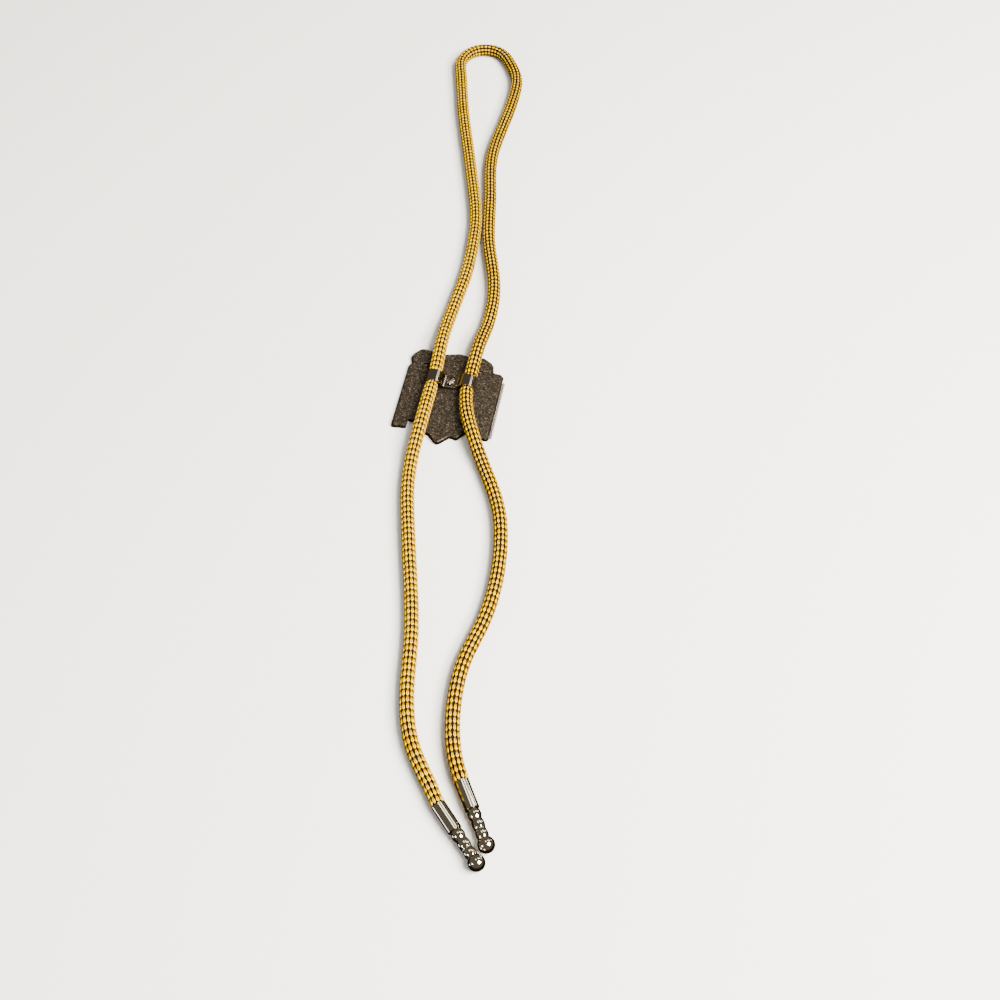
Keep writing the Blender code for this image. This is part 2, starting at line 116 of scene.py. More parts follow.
# Core inside the knit: inner yarns, coloured near black as painted shade in the gaps between the stitches
CORE_DIAMETER_SHARE = 0.78
CORE_POINTS_PER_SPAN = 4
CORE_RESOLUTION = 3

# Knit: ten wales round the cord, each a column of plump loops that hang from one another
WALES = 10
LOOP_SIDES = 6
# Length over which the knit swells again beside the clip and at the tips' mouths
KNIT_TAPER_LENGTH = 1.2
# Distance from a tip's mouth to the middle of the nearest course, whose loops end at the mouth
MOUTH_TO_COURSE = 1.65
# Share of the cord's length, and the height of a course there
COURSE_HEIGHTS = (
    (0.00, 2.75),
    (0.15, 2.55),
    (0.30, 2.35),
    (0.42, 2.05),
    (0.50, 1.95),
    (0.58, 2.05),
    (0.72, 2.20),
    (0.85, 2.50),
    (1.00, 2.75),
)
# Share of the cord's length, and the yarn's fullness there: the knit is drawn thin at the tips and the neck
YARN_FULLNESS = (
    (0.00, 0.85),
    (0.10, 0.95),
    (0.22, 1.00),
    (0.32, 0.96),
    (0.42, 0.93),
    (0.58, 0.93),
    (0.68, 0.96),
    (0.78, 1.00),
    (0.90, 0.95),
    (1.00, 0.85),
)
# Share of the cord's length, and the first wale's angle from straight up there
WALE_TURNS = (
    (0.00, -27.0),
    (0.30, -24.0),
    (0.50, -18.0),
    (1.00, -18.0),
)
# Half a loop, from its tucked end to the bottom of its bow: share of the wale's width from its middle, share
# of the course's height, how deep it lies, and the yarn's half width and half thickness
HALF_LOOP = (
    (0.06, 0.60, 0.66, 0.22, 0.28),
    (0.09, 0.36, 0.32, 0.24, 0.34),
    (0.11, 0.12, 0.13, 0.26, 0.38),
    (0.15, -0.12, 0.04, 0.31, 0.42),
    (0.20, -0.33, 0.00, 0.36, 0.44),
    (0.00, -0.52, 0.02, 0.34, 0.44),
)
# Height of a course at which a yarn has the widths above
FULL_COURSE_HEIGHT = 2.45
# How far the loops stand out beyond the cord's measured radius
KNIT_PROUD = 0.12
# Uneven hand of the knit: spread of a loop's place along the cord, and round it as a share of a wale
COURSE_SPREAD = 0.05
WALE_SPREAD = 0.012
# Half the length of cord over which its direction is read
HEADING_REACH = 0.4
# Share of a flank's depth, which sets the yarn's painted shade, that shows on the side of a yarn that faces
# its own loop's middle
INNER_FLANK_SHARE = 0.35
# Depth that counts as a yarn's crown: below it the painted shade deepens faster in short courses
CROWN_DEPTH = 0.07
# Name of each run of the knit, with the shares of the cord's length where it starts and ends, and the way
# that its loops point along the cord: down to the nearer tip
KNIT_RUNS = (
    ("knit_left_run", 0.0, 0.265, -1),
    ("knit_neck_left", 0.265, 0.5, -1),
    ("knit_neck_right", 0.5, 0.735, 1),
    ("knit_right_run", 0.735, 1.0, 1),
)
# How far the courses on each side of the neck loop's top close up, where the loops turn round, and over what
# length they do
TURN_CLOSING = 0.45
TURN_CLOSING_LENGTH = 12.0
SEED = 7

# Casting: how near its loose corners are when they are merged, and how finely its skin is remade
CASTING_MERGE = 0.01
CASTING_VOXEL = 0.24
# Coarse and fine grain of its skin, each as a height and a number of swells a millimetre
CASTING_GRAIN = 0.05
CASTING_SWELLS = 0.9
CASTING_FINE_GRAIN = 0.03
CASTING_FINE_SWELLS = 2.6
# Size of the grain in its colour, coarser than the real one so that it shows
CAST_COLOUR_GRAIN = 0.55
# Least upward part of a normal for a place to be on the ornament's back
BACK_FACES_UP = 0.5
# Soft cast grooves that part the lobes from the side panels, beside the solid's own: from end to end
GROOVES = (
    ((-13.3, 14.7), (-10.2, 15.2)),
    ((10.0, 16.0), (13.5, 16.5)),
)
GROOVE_DEPTH = 0.9
GROOVE_HALF_WIDTH = 0.34

# Beads along the edge of the right panel: where the row starts and ends on the ornament, how high it lies,
# and how far the beads stand out past the panel
RIM_START = -16.8
RIM_END = 12.0
RIM_PITCH = 1.15
RIM_BEAD_DIAMETER = 1.1
RIM_HEIGHT = 1.2
RIM_PROUD = 1.3

# Clip strip, the raised pad under it and the stud's head, as in the model's own source
CLIP_STRIP_THICKNESS = 0.5
CLIP_SADDLE_WIDTH = 5.8
SADDLE_CORNER_RADIUS = 0.7
PAD_HEIGHT = 1.4
SADDLE_BOTTOM = PLATE_THICKNESS + PAD_HEIGHT + GAP
HEAD_BOTTOM = SADDLE_BOTTOM + CLIP_STRIP_THICKNESS + GAP
HEAD_DIAMETER = 3.4
HEAD_HEIGHT = 0.9
# The arms' bends are rounder than in the model's own source, as their reflections show
ARM_OUTER_RADIUS = 2.3
ARM_INNER_RADIUS = 1.0
BEND_STEPS = 6
CLIP_EDGE_ROUND = 0.09
CLIP_EDGE_STEPS = 2
# How near a corner of the strip's section an edge has to run to be the bend's
CORNER_REACH = 0.01
# Height at which the casting's stud ends and the hammered head takes over
CAST_STUD_TOP = 4.35
# Hammered head, shaped from a ball of radius 1: its lumps as a share of the radius, how many there are in a
# radius, where the ball is cut flat, and its height after that as a share of the head's
HEAD_LUMP_SHARE = 0.16
HEAD_LUMPS = 1.9
HEAD_FINE_LUMPS = 4.5
HEAD_FINE_SHARE = 0.5
HEAD_CUT = -0.5
HEAD_ROUND_SHARE = 0.66
# Size of the small dents in the head's finish
HEAD_DENT = 0.7

# Faces that meet at less than this look smooth on the clip and the tips
SMOOTH_ANGLE = radians(40.0)

# Tips, as in the model's own source but for the necks, which the photo shows thicker
TIP_SLEEVE_DIAMETER = 5.2
TIP_SLEEVE_LENGTH = 11.1
TIP_BORE_DIAMETER = CORD_CRIMPED_DIAMETER + 2 * GAP
TIP_BORE_DEPTH = 9.0
TIP_NECK_DIAMETER = 3.8
TIP_BALL_DIAMETER = 6.1
TIP_AXIS_HEIGHT = TIP_BALL_DIAMETER / 2
# Length and diameter of each bead, from the sleeve to the ball
TIP_BEADS = (
    (3.9, 4.8),
    (3.9, 4.5),
    (3.4, 4.4),
)
# Chamfer of the sleeve's closed end, radius of the last ring at the ball's pole, and how finely all is turned
TIP_CHAMFER = 0.15
TIP_POLE_RADIUS = 0.01
TIP_SIDES = 48
TIP_BEAD_STEPS = 10
TIP_BALL_STEPS = 18
TIP_LIP_STEPS = 4

# Distance of the lights from the middle of the ornament, in metres
LIGHT_DISTANCE = 1.2
WARM_WHITE = "#FFFAF0"
PURE_WHITE = "#FFFFFF"
# Banks of square panels: name, direction from the ornament, panels along each side, the angle that one panel
# and its bar take in degrees, the panel's share of it, the watts of each panel and its colour. The lowest one
# shines only in reflections, as the floor hides it from everything else.
LIGHT_BANKS = (
    ("window", (0.58, -0.31, 0.755), 2, 17.0, 0.8, 21.5, WARM_WHITE),
    ("far_right", (0.371, 0.470, 0.802), 1, 13.0, 1.0, 1.8, WARM_WHITE),
    ("far_middle", (-0.10, 0.21, 0.973), 1, 14.0, 1.0, 2.0, WARM_WHITE),
    ("far_side", (0.796, 0.574, 0.194), 1, 9.0, 1.0, 0.8, WARM_WHITE),
    ("right", (0.62, 0.45, 0.64), 1, 8.0, 1.0, 2.0, WARM_WHITE),
    ("left", (-0.72, -0.57, 0.40), 1, 11.0, 1.0, 5.0, PURE_WHITE),
    ("low_left", (-0.884, -0.323, -0.338), 1, 11.0, 1.0, 1.5, PURE_WHITE),
)
# Room round the tie, from straight down to straight up: share of the way, and its colour
ROOM_TONES = (
    (0.38, "#2A251E"),
    (0.50, "#7A7368"),
    (0.56, "#857E73"),
    (1.00, "#7F786C"),
)

# Floor's side in metres, and how far it lies below the tie
FLOOR_SIZE = 6.0
FLOOR_DROP = 0.05


def linear(hex_colour):
    """Turn an sRGB hex colour into linear red, green, blue and alpha."""
    values = []
    for start in (1, 3, 5):
        value = int(hex_colour[start:start + 2], 16) / 255
        values.append(value / 12.92 if value <= 0.04045 else ((value + 0.055) / 1.055) ** 2.4)
    return (*values, 1.0)


def add_node(tree, kind, settings=None, inputs=None, stops=None):
    """Add a node with its settings, and fill or link its sockets."""
    node = tree.nodes.new(kind)
    for name, value in (settings or {}).items():
        setattr(node, name, value)
    for name, value in (inputs or {}).items():
        if isinstance(value, bpy.types.NodeSocket):
            tree.links.new(value, node.inputs[name])
        else:
            node.inputs[name].default_value = value
    for index, (place, colour) in enumerate(stops or ()):
        elements = node.color_ramp.elements
        element = elements[index] if index < 2 else elements.new(place)
        element.position = place
        element.color = colour
    return node


def per_mm(size):
    """Give the texture scale at which one feature measures that many millimetres."""
    return 1 / (size * MM)


def new_object(name, data):
    """Put a mesh, curve, light or camera into the scene as a new object."""
    thing = bpy.data.objects.new(name, data)
    bpy.context.scene.collection.objects.link(thing)
    return thing


def new_material(name):
    """Start a material with an empty tree and an output."""
    material = bpy.data.materials.new(name)
    material.use_nodes = True
    tree = material.node_tree
    tree.nodes.clear()
    output = add_node(tree, "ShaderNodeOutputMaterial")
    return material, tree, output


def deselect():
    """Leave nothing selected and nothing active."""
    bpy.ops.object.select_all(action="DESELECT")
    bpy.context.view_layer.objects.active = None


def make_active(piece):
    """Select one piece alone."""
    bpy.ops.object.select_all(action="DESELECT")
    piece.select_set(True)
    bpy.context.view_layer.objects.active = piece


def apply_modifier(piece, kind, settings):
    """Put a modifier on a piece and apply it."""
    make_active(piece)
    modifier = piece.modifiers.new(kind.lower(), kind)
    for name, value in settings.items():
        setattr(modifier, name, value)
    bpy.ops.object.modifier_apply(modifier=modifier.name)


def vertex_places(piece):
    """Give the vertices of a piece, in millimetres."""
    places = np.empty(len(piece.data.vertices) * 3)
    piece.data.vertices.foreach_get("co", places)
    return places.reshape(-1, 3) / MM


def vertex_normals(piece):
    """Give the normals of a piece's vertices."""
    normals = np.empty(len(piece.data.vertices) * 3, dtype=np.float32)
    piece.data.vertex_normals.foreach_get("vector", normals)
    return normals.reshape(-1, 3)


def set_places(piece, places):
    """Move the vertices of a piece to places in millimetres."""
    piece.data.vertices.foreach_set("co", (places * MM).ravel())
    piece.data.update()


def smooth_line(route, samples_per_span):
    """Read points from the natural cubic curve through the route's points."""
    points = np.array([tuple(point) for point in route])
    spans = np.linalg.norm(np.diff(points, axis=0), axis=1)
    count = len(points)
    system = np.zeros((count, count))
    pull = np.zeros((count, 3))
    system[0, 0] = 1.0
    system[-1, -1] = 1.0
    slopes = np.diff(points, axis=0) / spans[:, None]
    for index in range(1, count - 1):
        system[index, index - 1] = spans[index - 1]
        system[index, index] = 2 * (spans[index - 1] + spans[index])
        system[index, index + 1] = spans[index]
        pull[index] = 6 * (slopes[index] - slopes[index - 1])
    bends = np.linalg.solve(system, pull)
    line = []
    for index in range(count - 1):
        span = spans[index]
        for step in range(samples_per_span):
            ahead = span * step / samples_per_span
            left = span - ahead
            bent = (bends[index] * left**3 + bends[index + 1] * ahead**3) / (6 * span)
            start = (points[index] / span - bends[index] * span / 6) * left
            end = (points[index + 1] / span - bends[index + 1] * span / 6) * ahead
            line.append(bent + start + end)
    line.append(points[-1])
    return np.array(line)


def tip_passage(mouth, heading):
    """Give the cord's end inside a tip, from its cut end to the mouth."""
    start = Vector((mouth[0], mouth[1], TIP_AXIS_HEIGHT))
    inward = Vector((sin(heading), -cos(heading), 0.0))
    return [start + inward * TIP_CORD_DEPTH, start]


def clip_passage(side):
    """Give the cord's way through one arm of the clip, from the near edge to the far edge."""
    turn = Matrix.Rotation(ORNAMENT_TURN, 3, "Z")
    across = CLIP_OFF_CENTRE + side * CORD_SPACING / 2
    points = []
    for along in (-CLIP_STRIP_WIDTH / 2, CLIP_STRIP_WIDTH / 2):
        points.append(turn @ Vector((across, CLIP_HEIGHT_ON_PLATE + along, CLIPPED_CORD_MIDDLE)))
    return points


def cord_radii(line, taper, crimped_diameter):
    """Give the cord's radius at each point: squeezed in the clip and the tips, full a taper's length away."""
    turn_back = np.array(Matrix.Rotation(-ORNAMENT_TURN, 3, "Z"))
    on_plate = line @ turn_back.T
    past_clip = np.abs(on_plate[:, 1] - CLIP_HEIGHT_ON_PLATE) - CLIP_STRIP_WIDTH / 2
    share = np.clip(past_clip / taper, 0.0, 1.0)
    radii = (CORD_CLIPPED_DIAMETER + (CORD_DIAMETER - CORD_CLIPPED_DIAMETER) * share) / 2
    for mouth, heading in ((TIP_LEFT_MOUTH, TIP_LEFT_HEADING), (TIP_RIGHT_MOUTH, TIP_RIGHT_HEADING)):
        offset = line[:, :2] - np.array(mouth)
        out = offset @ np.array((-sin(heading), cos(heading)))
        near = np.linalg.norm(offset, axis=1) < TIP_REACH
        share = np.clip(out / taper, 0.0, 1.0)
        crimped = (crimped_diameter + (CORD_DIAMETER - crimped_diameter) * share) / 2
        radii = np.where(near, crimped, radii)
    return radii


def cord_line():
    """Give the cord's middle line, the distance along it and its radius, in millimetres."""
    route = tip_passage(TIP_LEFT_MOUTH, TIP_LEFT_HEADING)
    route += [Vector(point) for point in ROUTE_LEFT_LOWER]
    route += clip_passage(-1)
    route += [Vector(point) for point in ROUTE_NECK_LOOP]
    route += list(reversed(clip_passage(1)))
    route += [Vector(point) for point in ROUTE_RIGHT_LOWER]
    route += list(reversed(tip_passage(TIP_RIGHT_MOUTH, TIP_RIGHT_HEADING)))
    line = smooth_line(route, SAMPLES_PER_SPAN)
    radii = cord_radii(line, CORD_TAPER_LENGTH, CORD_CRIMPED_DIAMETER)
    line[:, 2] = np.maximum(line[:, 2], radii)
    along = np.concatenate([[0.0], np.cumsum(np.linalg.norm(np.diff(line, axis=0), axis=1))])
    return line, along, radii


def add_camera():
    """Look at the tie from the photo's place."""
    data = bpy.data.cameras.new("camera")
    data.sensor_width = CAMERA_SENSOR
    data.lens = CAMERA_LENS
    data.clip_start = CAMERA_NEAR
    data.clip_end = CAMERA_FAR
    camera = new_object("camera", data)
    camera.location = Vector(CAMERA_PLACE) * MM
    camera.rotation_euler = (radians(CAMERA_TILT), 0.0, 0.0)
    bpy.context.scene.camera = camera


def build_cord_core(line, radii):
    """Core of the cord: a dark tube that closes the view between the stitches."""
    curve = bpy.data.curves.new("cord_core", "CURVE")
    curve.dimensions = "3D"
    curve.bevel_depth = CORD_DIAMETER / 2 * CORE_DIAMETER_SHARE * MM
    curve.bevel_resolution = CORE_RESOLUTION
    curve.use_fill_caps = True
    thinned = list(range(0, len(line), SAMPLES_PER_SPAN // CORE_POINTS_PER_SPAN))
    spline = curve.splines.new("POLY")
    spline.points.add(len(thinned) - 1)
    for point, index in zip(spline.points, thinned):
        point.co = (*(line[index] * MM), 1.0)
        point.radius = radii[index] / (CORD_DIAMETER / 2)
    return new_object("cord_core", curve)


def course_places(total, margin):
    """Give where each course of stitches lies along the cord, between two margins, and its height there."""
    shares, heights = np.array(COURSE_HEIGHTS).T
    places = [margin]
    while places[-1] < total - margin:
        places.append(places[-1] + np.interp(places[-1] / total, shares, heights))
    stretch = (total - 2 * margin) / (places[-1] - margin)
    places = margin + (np.array(places) - margin) * stretch
    return np.stack([places, np.interp(places / total, shares, heights) * stretch], axis=1)


def on_line(line, along, place):
    """Give points of the cord's middle line at distances along it."""
    return np.stack([np.interp(place, along, line[:, axis]) for axis in range(3)], axis=-1)


def unit(vectors):
    """Scale vectors to unit length."""
    return vectors / np.linalg.norm(vectors, axis=-1, keepdims=True)


def loop_sections():
    """Give a whole loop's sections from one tucked end to the other, with -1, 0 or 1 for the side of each."""
    half = np.array(HALF_LOOP)
    side = np.repeat((-1.0, 0.0, 1.0), (len(half) - 1, 1, len(half) - 1))
    return np.concatenate([half, half[-2::-1]]).T, side


def tube_faces(tubes, rings, sides):
    """Give the faces of closed tubes whose vertices come tube by tube and ring by ring."""
    ring = np.arange(sides)
    following = (ring + 1) % sides
    quads = []
    for low in range(0, (rings - 1) * sides, sides):
        high = low + sides
        quads.append(np.stack([low + ring, high + ring, high + following, low + following], axis=1))
    caps = np.stack([ring, (rings - 1) * sides + ring[::-1]])
    starts = (np.arange(tubes) * rings * sides)[:, None, None]
    faces = (np.concatenate(quads)[None] + starts).reshape(-1, 4).tolist()
    return faces + (caps[None] + starts).reshape(-1, sides).tolist()


def cord_directions(line, along, place, angle):
    """Give the way forward along the cord, and the way outward from it at an angle from straight up."""
    ahead = on_line(line, along, place + HEADING_REACH)
    behind = on_line(line, along, place - HEADING_REACH)
    forward = unit(ahead - behind)
    up = np.zeros_like(forward)
    up[..., 2] = 1.0
    up = unit(up - forward * np.sum(up * forward, axis=-1, keepdims=True))
    right = np.cross(forward, up)
    return forward, up * np.cos(angle)[..., None] + right * np.sin(angle)[..., None]


def build_knit(name, line, along, radii, courses, way):
    """One run of knitted loops, each a yarn that comes up from under the next loop, bows and goes back."""
    total = along[-1]
    random = np.random.default_rng(SEED + len(name) + int(courses[0, 0]))
    course, wale = np.meshgrid(np.arange(len(courses)), np.arange(WALES), indexing="ij")
    course = course.ravel()
    wale = wale.ravel()[:, None]
    loops = len(course)
    (across, up_course, sunk, half_width, half_thickness), side = loop_sections()
    rings = len(side)

    height = courses[course, 1][:, None]
    steepness = np.maximum(1.0, FULL_COURSE_HEIGHT / height) ** 2
    across = side * across.max() * (across / across.max()) ** steepness
    middle = courses[course, 0][:, None] + random.normal(0.0, COURSE_SPREAD, (loops, 1))
    place = np.clip(middle - way * up_course * height, 0.0, total)
    turn = np.radians(np.interp(middle / total, *np.array(WALE_TURNS).T))
    fullness = np.interp(middle / total, *np.array(YARN_FULLNESS).T)
    angle = turn + 2 * pi / WALES * (wale + across + random.normal(0.0, WALE_SPREAD, (loops, 1)))
    full = np.interp(place, along, radii) + KNIT_PROUD
    size = full / (CORD_DIAMETER / 2)
    half_width = half_width * size * fullness * height / FULL_COURSE_HEIGHT
    half_thickness = half_thickness * size * fullness
    reach = full - half_thickness - sunk * size

    forward, outward = cord_directions(line, along, place, angle)
    centre = on_line(line, along, place) + outward * reach[..., None]
    path = unit(np.gradient(centre, axis=1))
    sideways = unit(np.cross(path, outward))
    lift = np.cross(sideways, path)
    round_yarn = np.arange(LOOP_SIDES) * 2 * pi / LOOP_SIDES
    by_width = (half_width[..., None] * np.cos(round_yarn))[..., None]
    by_thickness = (half_thickness[..., None] * np.sin(round_yarn))[..., None]
    points = centre[:, :, None] + sideways[:, :, None] * by_width + lift[:, :, None] * by_thickness
    mesh = bpy.data.meshes.new(name)
    mesh.from_pydata(points.reshape(-1, 3) * MM, [], tube_faces(loops, rings, LOOP_SIDES))

    # Painted shade: each vertex's depth below the knit's surface, greater on the yarns' outer flanks and
    # tucked ends and in short courses, by which the yarn's colour darkens
    level = unit(np.cross(outward, forward))
    crosswise = np.abs(np.sum(sideways * level, axis=-1))[..., None]
    outer_side = INNER_FLANK_SHARE + (1 - INNER_FLANK_SHARE) * crosswise * (1 - np.cos(round_yarn)) / 2
    flank_depth = half_thickness[..., None] * (1 - np.sin(round_yarn)) * outer_side
    below_crown = sunk[None, :, None] + flank_depth - CROWN_DEPTH
    tone = random.random(loops)[:, None, None]
    values = {
        "yarn_tone": np.broadcast_to(tone, (loops, rings, LOOP_SIDES)),
        "yarn_shade_depth": CROWN_DEPTH + below_crown * steepness[..., None],
    }
    for attribute, value in values.items():
        layer = mesh.attributes.new(attribute, "FLOAT", "POINT")
        layer.data.foreach_set("value", value.ravel().astype(np.float32))
    mesh.shade_smooth()
    return new_object(name, mesh)


def groove_depth(on_plate):
    """Give how far the cast grooves lower each place of the ornament's back."""
    depth = np.zeros(len(on_plate))
    for start, end in GROOVES:
        run = np.array(end) - np.array(start)
        from_start = on_plate[:, :2] - np.array(start)
        share = np.clip(from_start @ run / (run @ run), 0.0, 1.0)
        away = np.linalg.norm(from_start - share[:, None] * run, axis=1)
        depth = np.maximum(depth, GROOVE_DEPTH * np.exp(-(away / GROOVE_HALF_WIDTH) ** 2))
    return depth


def build_casting(plate_node):
    """Cast ornament: the solid's own shape with a granular cast skin, less the peened head."""
    casting = new_object("slide_casting", plate_node.data.copy())
    casting.data.materials.clear()
    make_active(casting)
    bpy.ops.object.mode_set(mode="EDIT")
    bpy.ops.mesh.select_all(action="SELECT")
    bpy.ops.mesh.remove_doubles(threshold=CASTING_MERGE * MM)
    bpy.ops.mesh.bisect(
        plane_co=(0.0, 0.0, CAST_STUD_TOP * MM),
        plane_no=(0.0, 0.0, 1.0),
        clear_outer=True,
        use_fill=True,
    )
    bpy.ops.object.mode_set(mode="OBJECT")
    apply_modifier(casting, "REMESH", {"mode": "VOXEL", "voxel_size": CASTING_VOXEL * MM})
    places = vertex_places(casting)
    normals = vertex_normals(casting)
    grain = np.empty(len(places))
    for index, place in enumerate(places):
        coarse = noise.noise(Vector(place * CASTING_SWELLS))
        fine = noise.noise(Vector(place * CASTING_FINE_SWELLS))
        grain[index] = CASTING_GRAIN * coarse + CASTING_FINE_GRAIN * fine
    grained = places + normals * grain[:, None]
    on_plate = places @ np.array(Matrix.Rotation(ORNAMENT_TURN, 3, "Z"))
    facing_up = normals[:, 2] > BACK_FACES_UP
    grained[facing_up, 2] -= groove_depth(on_plate[facing_up])
    set_places(casting, grained)
    casting.data.shade_smooth()
    return casting


def build_peened_head():
    """Head of the cast stud, hammered over the clip's strip into a lumpy boss."""
    turn = Matrix.Rotation(ORNAMENT_TURN, 3, "Z")
    centre = turn @ Vector((CLIP_OFF_CENTRE, CLIP_HEIGHT_ON_PLATE, 0.0))
    bpy.ops.mesh.primitive_ico_sphere_add(subdivisions=5, radius=1.0)
    head = bpy.context.active_object
    head.name = "peened_head"
    # The ball's radius is one metre, so its places in metres are shares of the head's half size
    places = vertex_places(head) * MM
    lumps = np.empty(len(places))
    for index, place in enumerate(places):
        coarse = noise.noise(Vector(place * HEAD_LUMPS))
        fine = noise.noise(Vector(place * HEAD_FINE_LUMPS))
        lumps[index] = coarse + HEAD_FINE_SHARE * fine
    places = places * (1 + HEAD_LUMP_SHARE * lumps)[:, None]
    places[:, 2] = np.maximum(places[:, 2], HEAD_CUT)
    places = places * np.array((HEAD_DIAMETER / 2, HEAD_DIAMETER / 2, HEAD_HEIGHT * HEAD_ROUND_SHARE))
    places[:, 2] += HEAD_BOTTOM - places[:, 2].min()
    places[:, 0] += centre.x
    places[:, 1] += centre.y
    set_places(head, places)
    head.data.shade_smooth()
    return head


def build_milled_rim(casting):
    """Row of cast beads along the right panel's edge, on the ornament's face side."""
    turn = np.array(Matrix.Rotation(ORNAMENT_TURN, 3, "Z"))
    on_plate = vertex_places(casting) @ turn
    low = on_plate[on_plate[:, 2] < PLATE_THICKNESS]
    steps = np.arange(RIM_START, RIM_END, RIM_PITCH)
    beads = []
    for along in steps:
        near = low[np.abs(low[:, 1] - along) < RIM_PITCH / 2]
        across = near[:, 0].max() + RIM_PROUD - RIM_BEAD_DIAMETER / 2
        place = turn @ np.array((across, along, RIM_HEIGHT))
        bpy.ops.mesh.primitive_ico_sphere_add(
            subdivisions=2, radius=RIM_BEAD_DIAMETER / 2 * MM, location=Vector(place) * MM
        )
        beads.append(bpy.context.active_object)
    bpy.ops.object.select_all(action="DESELECT")
    for bead in beads:
        bead.select_set(True)
    bpy.context.view_layer.objects.active = beads[0]
    bpy.ops.object.join()
    rim = bpy.context.active_object
    rim.name = "milled_rim"
    bpy.ops.object.transform_apply(location=True, rotation=True, scale=True)
    rim.data.shade_smooth()
    return rim


def select_edges_at(piece, corners):
    """Select the straight edges that run through the given corners of the strip's section."""
    bpy.ops.mesh.select_all(action="DESELECT")
    bpy.ops.object.mode_set(mode="OBJECT")
    for edge in piece.data.edges:
        ends = [piece.data.vertices[vertex].co / MM for vertex in edge.vertices]
        edge.select = any(all((end - corner).xz.length < CORNER_REACH for end in ends) for corner in corners)
    bpy.ops.object.mode_set(mode="EDIT")


def build_clip():
    """Spring clip: a strip bent down over each run of the cord, with a flat saddle under the stud's head."""
    half_strip = CLIP_STRIP_THICKNESS / 2
    arm_reach = CORD_CLIPPED_DIAMETER / 2 + GAP + half_strip
    arm_middle = CORD_SPACING / 2
    foot = PLATE_THICKNESS + GAP
    saddle = SADDLE_BOTTOM + half_strip
    top = CLIPPED_CORD_MIDDLE + arm_reach
    inner_top = arm_middle - arm_reach + CLIP_STRIP_THICKNESS
    half = (
        (arm_middle + arm_reach, foot),
        (arm_middle + arm_reach, top),
        (inner_top, top),
        (CLIP_SADDLE_WIDTH / 2, saddle),
    )
    corners = [Vector((-across, 0.0, up)) for across, up in half]
    corners += [Vector((across, 0.0, up)) for across, up in reversed(half)]
    bpy.ops.mesh.primitive_plane_add(size=1.0)
    clip = bpy.context.active_object
    clip.name = "spring_clip"
    places = np.empty((4, 3))
    # The plane's side is one metre, so its places in metres are shares of the strip's first stretch
    for index, place in enumerate(vertex_places(clip) * MM):
        end = corners[0] if place[0] < 0 else corners[1]
        places[index] = (end.x, place[1] * CLIP_STRIP_WIDTH, end.z)
    set_places(clip, places)
    make_active(clip)
    bpy.ops.object.mode_set(mode="EDIT")
    bpy.ops.mesh.select_mode(type="EDGE")
    for index in range(1, len(corners) - 1):
        select_edges_at(clip, [corners[index]])
        step = (corners[index + 1] - corners[index]) * MM
        bpy.ops.mesh.extrude_region_move(TRANSFORM_OT_translate={"value": step})
    rounds = (((1, 6), ARM_OUTER_RADIUS), ((2, 5), ARM_INNER_RADIUS), ((3, 4), SADDLE_CORNER_RADIUS))
    for chosen, radius in rounds:
        select_edges_at(clip, [corners[index] for index in chosen])
        bpy.ops.mesh.bevel(offset=radius * MM, segments=BEND_STEPS, affect="EDGES")
    bpy.ops.object.mode_set(mode="OBJECT")
    apply_modifier(clip, "SOLIDIFY", {"thickness": CLIP_STRIP_THICKNESS * MM, "offset": 0.0})
    edge_round = {"width": CLIP_EDGE_ROUND * MM, "segments": CLIP_EDGE_STEPS, "limit_method": "ANGLE"}
    apply_modifier(clip, "BEVEL", edge_round)
    turn = np.array(Matrix.Rotation(ORNAMENT_TURN, 3, "Z"))
    set_places(clip, (vertex_places(clip) + np.array((CLIP_OFF_CENTRE, CLIP_HEIGHT_ON_PLATE, 0.0))) @ turn.T)
    make_active(clip)
    bpy.ops.object.shade_smooth_by_angle(angle=SMOOTH_ANGLE)
    apply_modifier(clip, "WEIGHTED_NORMAL", {"keep_sharp": True})
    return clip


def tip_profile():
    """Give the tip's profile as distance from the mouth and radius, from in the bore to the ball's pole."""
    bore = TIP_BORE_DIAMETER / 2
    sleeve = TIP_SLEEVE_DIAMETER / 2
    neck = TIP_NECK_DIAMETER / 2
    lip = (sleeve - bore) / 2
    profile = [(TIP_BORE_DEPTH / 2, bore)]
    for step in range(TIP_LIP_STEPS + 1):
        angle = pi * step / TIP_LIP_STEPS
        profile.append((lip * (1 - sin(angle)), bore + lip * (1 - cos(angle))))
    profile.append((TIP_SLEEVE_LENGTH - TIP_CHAMFER, sleeve))
    profile.append((TIP_SLEEVE_LENGTH, sleeve - TIP_CHAMFER))
    profile.append((TIP_SLEEVE_LENGTH, neck))
    start = TIP_SLEEVE_LENGTH
    for length, diameter in TIP_BEADS:
        radius = diameter / 2
        for step in range(1, TIP_BEAD_STEPS + 1):
            share = step / TIP_BEAD_STEPS
            from_middle = 2 * share - 1
            width = radius * sqrt(1 - from_middle**2 * (1 - (neck / radius) ** 2))
            profile.append((start + length * share, width))
        start += length
    ball = TIP_BALL_DIAMETER / 2
    first = asin(neck / ball)
    centre = start + ball * cos(first)
    for step in range(1, TIP_BALL_STEPS + 1):
        angle = first + (pi - first) * step / TIP_BALL_STEPS
        profile.append((centre - ball * cos(angle), max(ball * sin(angle), TIP_POLE_RADIUS)))
    return profile


